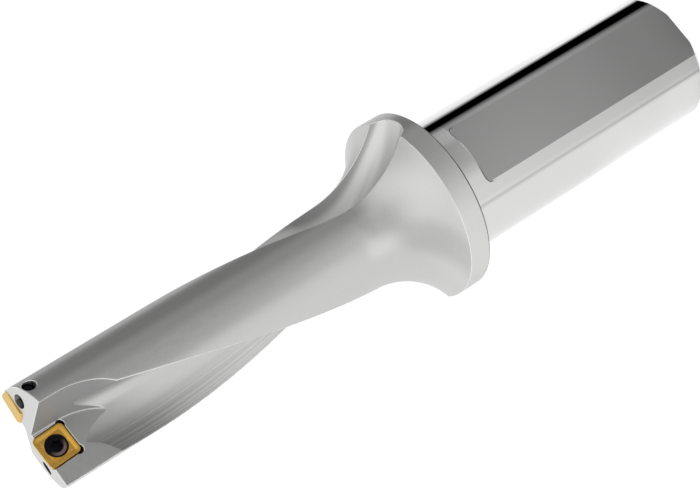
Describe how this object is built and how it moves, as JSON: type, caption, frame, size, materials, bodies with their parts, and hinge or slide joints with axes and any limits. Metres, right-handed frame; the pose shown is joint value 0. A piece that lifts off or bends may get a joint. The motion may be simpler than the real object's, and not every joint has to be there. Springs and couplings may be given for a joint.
{
  "type": "indexable drill",
  "caption": "Short indexable drill with square inserts held by screws, twisted chip flutes, a flange and a parallel-flat shank with through coolant.",
  "frame": {"origin": "centre of the shank's end face, on the tool axis", "axes": "+Z along the tool axis from the shank end to the cutting tip; -Y is the way the clamping flat and the central insert's rake face look"},
  "size_m": [0.0276, 0.0276, 0.1135],
  "materials": {
    "body_steel": "satin body, ground shank",
    "coated_carbide": "satin gold coating on carbide",
    "dark_screw_steel": "blackened steel"
  },
  "bodies": {
    "root": {"drill_body": "body_steel", "central_insert": "coated_carbide", "peripheral_insert": "coated_carbide", "central_insert_screw": "dark_screw_steel", "peripheral_insert_screw": "dark_screw_steel"}
  },
  "joints": []
}
